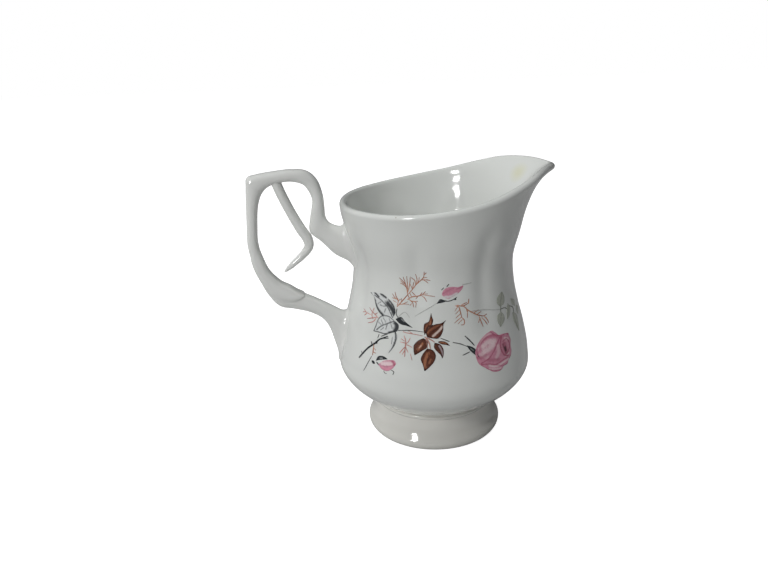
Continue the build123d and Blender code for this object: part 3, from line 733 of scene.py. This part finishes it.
def resampled(points, count):
    """A smooth curve through points, at evenly spaced places."""
    points = np.asarray(points, float)
    knots = np.concatenate([[0.0], np.cumsum(np.linalg.norm(np.diff(points, axis=0), axis=1))])
    return smooth_curve(knots, points, np.linspace(0.0, knots[-1], count))


def leaf_grid(edges):
    """Flat points that fill the space between two edges that meet at base and tip."""
    length = np.linalg.norm(np.subtract(edges[0][-1], edges[0][0]))
    rows = max(int(length * 1.15 / PAINT_STEP), 6)
    near, far = (resampled(edge, rows + 2)[1:-1] for edge in edges)
    cols = max(int(np.linalg.norm(near - far, axis=1).max() / PAINT_STEP), 4)
    share = np.linspace(0.0, 1.0, cols + 1)[None, :, None]
    return near[:, None] * (1 - share) + far[:, None] * share


def stroke_grid(line, width):
    """Flat points of a stroke that swells in the middle and thins to its ends."""
    length = np.linalg.norm(np.diff(np.asarray(line), axis=0), axis=1).sum()
    rows = max(int(length / PAINT_STEP), 5)
    centre = resampled(line, rows)
    along = np.gradient(centre, axis=0)
    along /= np.linalg.norm(along, axis=1, keepdims=True)
    side = np.stack([-along[:, 1], along[:, 0]], axis=1)
    swell = 0.55 + 0.45 * np.sin(math.pi * np.linspace(0.12, 0.96, rows))
    wobble = 1.0 + 0.25 * cloud(centre, scale=1.3, seed=7.0)
    half = (width / 2 * swell * wobble)[:, None, None]
    return centre[:, None] + side[:, None] * half * np.array([-1.0, 0.0, 1.0])[None, :, None]


def cloud(points, scale, seed):
    """Smooth noise between -1 and 1 at flat points."""
    flat = points.reshape(-1, 2)
    values = [noise.noise((x * scale, y * scale, seed)) for x, y in flat]
    return np.array(values).reshape(points.shape[:-1])


def line_distance(points, line):
    """Distance from flat points to a line."""
    best = np.full(points.shape[:-1], np.inf)
    smooth = resampled(line, 6 * len(line))
    for start, end in zip(smooth, smooth[1:]):
        span = end - start
        share = np.clip(((points - start) @ span) / (span @ span), 0.0, 1.0)
        best = np.minimum(best, np.linalg.norm(points - start - share[..., None] * span, axis=-1))
    return best


def painted(points, ground, strokes, grain=0.12):
    """Colours at flat points: a clouded ground crossed by soft brush strokes."""
    colour = np.ones(points.shape[:-1] + (3,)) * np.asarray(ground)
    drift = cloud(points, scale=1.1, seed=3.0) + cloud(points, scale=3.1, seed=5.0)
    colour *= (1.0 + grain * drift)[..., None]
    ragged = 1.0 + 0.35 * cloud(points, scale=1.9, seed=11.0)
    for line, width, tint, strength in strokes:
        cover = strength * np.exp(-((line_distance(points, line) / (width / 2 * ragged)) ** 4) * 0.7)
        colour += (np.asarray(tint) - colour) * cover[..., None]
    return np.clip(colour, 0.01, 0.9)


FIRST_DEPTH, DEPTH_PASSES = 30.0, 4


def on_wall(points, azimuth, lift):
    """Flat points projected square onto the wall from the side that faces an azimuth."""
    across, height = points[..., 0], points[..., 1]
    turn = math.radians(azimuth)
    facing = math.cos(turn), math.sin(turn)
    sideways = -math.sin(turn), math.cos(turn)
    depth = np.full(across.shape, FIRST_DEPTH)
    for _ in range(DEPTH_PASSES):
        x = sideways[0] * across + facing[0] * depth
        y = sideways[1] * across + facing[1] * depth
        angle = np.degrees(np.arctan2(y, x))
        reach = wall_radius(angle, height)
        depth = np.sqrt(np.maximum(reach**2 - across**2, 1.0))
    slope = wall_slope(angle, height, rim_height(wrapped(angle)))
    length = np.hypot(1.0, slope)
    radius = reach + lift / length
    theta = np.radians(angle)
    return np.stack([radius * np.cos(theta), radius * np.sin(theta), height - lift * slope / length], axis=-1)


def enamel(name, painted_grids):
    """One colour of the transfer on both sides of the jug, from flat grids and their colours."""
    points, faces, colours = [], [], []
    for azimuth in (FRONT, BACK):
        for grid, colour in painted_grids:
            rows, cols = grid.shape[:2]
            base = len(points)
            for lift in (ENAMEL_TOP, ENAMEL_UNDERSIDE):
                points.extend(on_wall(grid, azimuth, lift).reshape(-1, 3).tolist())
                colours.extend(colour.reshape(-1, 3).tolist())
            top = np.arange(rows * cols).reshape(rows, cols) + base
            under = top + rows * cols
            for row in range(rows - 1):
                for col in range(cols - 1):
                    corners = [(row, col), (row + 1, col), (row + 1, col + 1), (row, col + 1)]
                    faces.append([top[corner] for corner in corners])
                    faces.append([under[corner] for corner in reversed(corners)])
            edge = [(row, 0) for row in range(rows)] + [(rows - 1, col) for col in range(1, cols)]
            edge += [(row, cols - 1) for row in range(rows - 2, -1, -1)]
            edge += [(0, col) for col in range(cols - 2, 0, -1)]
            for here, following in zip(edge, edge[1:] + edge[:1]):
                faces.append((top[following], top[here], under[here], under[following]))
    piece = new_object(name, points, [tuple(int(corner) for corner in face) for face in faces])
    paint = piece.data.color_attributes.new(name="paint", type="FLOAT_COLOR", domain="POINT")
    opaque = np.hstack([colours, np.ones((len(colours), 1))])
    paint.data.foreach_set("color", opaque.astype(np.float32).ravel())
    outward(piece)
    return piece


def leaves(shapes, ground, strokes, grain=0.12):
    grids = [leaf_grid(edges) for edges in shapes]
    return [(grid, painted(grid, ground, strokes, grain)) for grid in grids]


def twigs(lines, ground, tips=None):
    """Strokes of one colour, shaded towards another at the far end."""
    grids = [stroke_grid(line, width) for line, width in lines]
    result = []
    for grid in grids:
        share = np.linspace(0.0, 1.0, len(grid))[:, None, None]
        tint = np.asarray(ground) * (1 - share) + np.asarray(tips or ground) * share
        result.append((grid, painted(grid, (1, 1, 1), [], 0.3) * tint))
    return result


# ---------------------------------------------------------------- materials

# Places and sizes in materials are in metres, in the piece's own space.
STAIN_CENTRE = (0.0373, 0.0078, 0.1048)
STAIN_CORE, STAIN_RADIUS = 0.001, 0.0050
STAIN_STRENGTH = 0.75
STAIN_TINT = (0.70, 0.70, 0.52)
SPECK_SCALE = 160.0
SPECK_CORE, SPECK_RADIUS = 0.03, 0.05
SPECK_STRENGTH = 0.9
SPECK_TINT = (0.45, 0.42, 0.38)
CELLS_WITHOUT_SPECK = 0.93


def new_material(name):
    """A material of nodes, with its node tree and its shader."""
    material = bpy.data.materials.new(name)
    material.use_nodes = True
    return material, material.node_tree, material.node_tree.nodes["Principled BSDF"]


def noise_at(tree, place, scale, detail):
    texture = tree.nodes.new("ShaderNodeTexNoise")
    texture.inputs["Scale"].default_value = scale
    texture.inputs["Detail"].default_value = detail
    tree.links.new(place, texture.inputs["Vector"])
    return texture.outputs["Fac"]


def carried(tree, value, start, end, first, last):
    """A value carried from the range start to end over to the range first to last."""
    carry = tree.nodes.new("ShaderNodeMapRange")
    for socket, limit in (("From Min", start), ("From Max", end), ("To Min", first), ("To Max", last)):
        carry.inputs[socket].default_value = limit
    tree.links.new(value, carry.inputs["Value"])
    return carry.outputs["Result"]


def tinted(tree, share, ground, tint):
    """A ground, which is a socket or a fixed colour, turned towards a tint by a share."""
    mix = tree.nodes.new("ShaderNodeMix")
    mix.data_type = "RGBA"
    tree.links.new(share, mix.inputs["Factor"])
    if isinstance(ground, tuple):
        mix.inputs["A"].default_value = (*ground, 1)
    else:
        tree.links.new(ground, mix.inputs["A"])
    mix.inputs["B"].default_value = (*tint, 1)
    return mix.outputs["Result"]


def stained_glaze(tree, place, clean):
    """A faint yellowed patch inside the spout, laid over a clean colour."""
    away = tree.nodes.new("ShaderNodeVectorMath")
    away.operation = "DISTANCE"
    away.inputs[1].default_value = STAIN_CENTRE
    tree.links.new(place, away.inputs[0])
    fade = carried(tree, away.outputs["Value"], STAIN_CORE, STAIN_RADIUS, STAIN_STRENGTH, 0.0)
    return tinted(tree, fade, clean, STAIN_TINT)


def specked_glaze(tree, place, clean):
    """Rare dark kiln specks in a clean colour."""
    speck = tree.nodes.new("ShaderNodeTexVoronoi")
    speck.inputs["Scale"].default_value = SPECK_SCALE
    tree.links.new(place, speck.inputs["Vector"])
    rare = tree.nodes.new("ShaderNodeMath")
    rare.operation = "GREATER_THAN"
    rare.inputs[1].default_value = CELLS_WITHOUT_SPECK
    tree.links.new(speck.outputs["Color"], rare.inputs[0])
    fade = carried(tree, speck.outputs["Distance"], SPECK_CORE, SPECK_RADIUS, SPECK_STRENGTH, 0.0)
    both = tree.nodes.new("ShaderNodeMath")
    both.operation = "MULTIPLY"
    tree.links.new(fade, both.inputs[0])
    tree.links.new(rare.outputs["Value"], both.inputs[1])
    return tinted(tree, both.outputs["Value"], clean, SPECK_TINT)


def porcelain(name, colour, warm, stained=False):
    """White glazed porcelain: a grey-white ground that varies softly, a clear gloss and a faint ripple."""
    material, tree, shader = new_material(name)
    place = tree.nodes.new("ShaderNodeTexCoord").outputs["Object"]
    ground = tinted(tree, noise_at(tree, place, 28.0, 3.0), colour, warm)
    if stained:
        ground = stained_glaze(tree, place, ground)
    tree.links.new(specked_glaze(tree, place, ground), shader.inputs["Base Color"])
    ripple = tree.nodes.new("ShaderNodeBump")
    ripple.inputs["Strength"].default_value = 0.02
    ripple.inputs["Distance"].default_value = 0.004
    tree.links.new(noise_at(tree, place, 55.0, 1.0), ripple.inputs["Height"])
    tree.links.new(ripple.outputs["Normal"], shader.inputs["Normal"])
    shader.inputs["Roughness"].default_value = 0.1
    shader.inputs["IOR"].default_value = 1.5
    shader.inputs["Coat Weight"].default_value = 0.5
    shader.inputs["Coat Roughness"].default_value = 0.03
    return material


def enamel_glaze(name):
    """Fired on-glaze colour: the painted tints under a clear gloss, with a little grain."""
    material, tree, shader = new_material(name)
    paint = tree.nodes.new("ShaderNodeAttribute")
    paint.attribute_name = "paint"
    place = tree.nodes.new("ShaderNodeTexCoord").outputs["Object"]
    scaled = tree.nodes.new("ShaderNodeVectorMath")
    scaled.operation = "SCALE"
    tree.links.new(paint.outputs["Color"], scaled.inputs[0])
    grain = carried(tree, noise_at(tree, place, 1400.0, 2.0), 0.0, 1.0, 0.85, 1.15)
    tree.links.new(grain, scaled.inputs["Scale"])
    tree.links.new(scaled.outputs["Vector"], shader.inputs["Base Color"])
    shader.inputs["Roughness"].default_value = 0.18
    shader.inputs["IOR"].default_value = 1.5
    return material


def finish_piece(piece, material, slot, *nodes):
    piece.data.materials.clear()
    piece.data.materials.append(material)
    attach(piece, "root")
    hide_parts(*nodes)


# ---------------------------------------------------------------- floor, light and camera

def matt(name, colour, lift):
    """A pale matt surface that the camera sees lifted towards white."""
    material, tree, shader = new_material(name)
    shader.inputs["Base Color"].default_value = (*colour, 1)
    shader.inputs["Roughness"].default_value = 0.9
    shader.inputs["Specular IOR Level"].default_value = 0.0
    shader.inputs["Emission Color"].default_value = (1, 1, 1, 1)
    seen = tree.nodes.new("ShaderNodeLightPath").outputs["Is Camera Ray"]
    tree.links.new(carried(tree, seen, 0.0, 1.0, 0.0, lift), shader.inputs["Emission Strength"])
    return material


def add_floor():
    size = 3.0
    corners = [(-size, -size, 0), (size, -size, 0), (size, size, 0), (-size, size, 0)]
    floor = new_object("floor", np.array(corners) / MM, [(0, 1, 2, 3)], smooth=False)
    floor.data.materials.append(matt("pale_floor", colour=(0.55, 0.55, 0.55), lift=0.96))


def add_area(name, place, target, size, power):
    light = bpy.data.lights.new(name, "AREA")
    light.shape = "RECTANGLE"
    light.size, light.size_y = size
    light.energy = power
    lamp = bpy.data.objects.new(name, light)
    lamp.location = place
    lamp.rotation_euler = (Vector(target) - Vector(place)).to_track_quat("-Z", "Y").to_euler()
    bpy.context.collection.objects.link(lamp)
    return lamp


def add_studio(name, aside, rise, distance, size, power):
    """An area light placed by its angle aside from the camera and its rise above the jug's middle."""
    heading = math.radians(-90.0 - CAMERA_TURN + aside)
    climb = math.radians(rise)
    level = distance * math.cos(climb)
    place = (level * math.cos(heading), level * math.sin(heading), LIGHT_CENTRE + distance * math.sin(climb))
    return add_area(name, place, (0, 0, LIGHT_CENTRE), size, power)


def add_world(strength):
    world = bpy.data.worlds.new("studio")
    world.use_nodes = True
    nodes, links = world.node_tree.nodes, world.node_tree.links
    background = nodes["Background"]
    background.inputs["Color"].default_value = (0.95, 0.97, 1.0, 1)
    background.inputs["Strength"].default_value = strength
    seen = nodes.new("ShaderNodeBackground")
    seen.inputs["Color"].default_value = (1, 1, 1, 1)
    seen.inputs["Strength"].default_value = 1.0
    path = nodes.new("ShaderNodeLightPath")
    choose = nodes.new("ShaderNodeMixShader")
    links.new(path.outputs["Is Camera Ray"], choose.inputs["Fac"])
    links.new(background.outputs["Background"], choose.inputs[1])
    links.new(seen.outputs["Background"], choose.inputs[2])
    links.new(choose.outputs["Shader"], nodes["World Output"].inputs["Surface"])
    bpy.context.scene.world = world


# Height of the lights' target in metres, then the camera in millimetres and degrees.
LIGHT_CENTRE = 0.06
CAMERA_DISTANCE = 257.66
CAMERA_HEIGHT = 153.21
CAMERA_TURN = 12.0
CAMERA_PITCH = 19.78
CAMERA_YAW = -4.46
CAMERA_ROLL = -1.88
SENSOR_WIDTH, LENS = 36.0, 31.08


def add_camera():
    """A close camera in front of the jug, a little above the rim and turned towards the handle side."""
    turn = math.radians(CAMERA_TURN)
    data = bpy.data.cameras.new("camera")
    data.sensor_width = SENSOR_WIDTH
    data.lens = LENS
    data.clip_start = 0.01
    camera = bpy.data.objects.new("camera", data)
    place = Vector((-CAMERA_DISTANCE * math.sin(turn), -CAMERA_DISTANCE * math.cos(turn), CAMERA_HEIGHT)) * MM
    upright = Matrix.Rotation(math.radians(90.0 - CAMERA_PITCH), 4, "X")
    heading = Matrix.Rotation(-turn - math.radians(CAMERA_YAW), 4, "Z")
    rolled = Matrix.Rotation(math.radians(CAMERA_ROLL), 4, "Z")
    camera.matrix_world = Matrix.Translation(place) @ heading @ upright @ rolled
    bpy.context.collection.objects.link(camera)
    bpy.context.scene.camera = camera


body_glaze = porcelain("body_glaze", (0.735, 0.756, 0.732), (0.755, 0.771, 0.742), stained=True)
foot_glaze = porcelain("foot_glaze", (0.75, 0.745, 0.70), (0.77, 0.757, 0.71))
# The handle's glaze is the body's white painted a little lighter: painted light for the handle, which catches
# more light than the body.
painted_light_handle_glaze = porcelain("painted_light_handle_glaze", (0.765, 0.78, 0.755), (0.785, 0.79, 0.765))

finish_piece(body_piece(), body_glaze, "porcelain_body", "body")
finish_piece(foot_piece(), foot_glaze, "porcelain_foot", "foot")
finish_piece(handle_piece(), painted_light_handle_glaze, "porcelain_handle", "handle")
finish_piece(scroll_piece(), painted_light_handle_glaze, "porcelain_handle", "handle_scroll")

pink = leaves([ROSE], PINK, ROSE_STROKES) + leaves([LOW_BUD, TOP_BUD], PINK, BUD_STROKES)
dark_edges = [(edge, 0.65, UMBER, 0.8) for edges in BROWN_LEAVES for edge in edges]
brown = leaves(BROWN_LEAVES, BROWN, BROWN_STROKES + dark_edges, grain=0.35) + twigs(STALKS, STALK)
grey = leaves(GREY_LEAVES, SILVER, INK_STROKES, grain=0.03) + leaves(INK_LEAVES, INK, INK_STROKES, grain=0.2)
grey += twigs(TWIGS, INK) + twigs(FAINT_TWIGS, FAINT)
coral = twigs(CORAL_TWIGS, CORAL, RUST) + twigs(ROSY_TWIGS, ROSY, MAROON)
pale = leaves(PALE_LEAVES, SAGE, PALE_STROKES) + twigs(PALE_TWIGS, MOSS)
for colour, grids, name, node in (
    ("pink", pink, "rose_enamel", "rose_transfer"),
    ("brown", brown, "brown_leaf_enamel", "brown_leaf_transfer"),
    ("grey", grey, "grey_leaf_enamel", "grey_leaf_transfer"),
    ("coral", coral, "sprig_enamel", "sprig_transfer"),
    ("pale", pale, "pale_leaf_enamel", "pale_leaf_transfer"),
):
    finish_piece(enamel(name, grids), enamel_glaze(f"{colour}_glaze"), f"{colour}_enamel", node)

add_floor()
add_world(strength=0.09)
for name, rise, height in (("window_low", 20.0, 0.16), ("window_high", 33.0, 0.10)):
    add_studio(name, aside=-34.0, rise=rise, distance=0.95, size=(0.13, height), power=1.75)
overhead = add_studio("overhead", aside=-20.0, rise=82.0, distance=1.1, size=(0.9, 0.9), power=4.9)
side = add_studio("side", aside=-115.0, rise=25.0, distance=1.0, size=(0.7, 0.7), power=3.2)
for lamp in (overhead, side):
    lamp.visible_glossy = False
add_camera()
bpy.context.scene.view_settings.view_transform = "Standard"
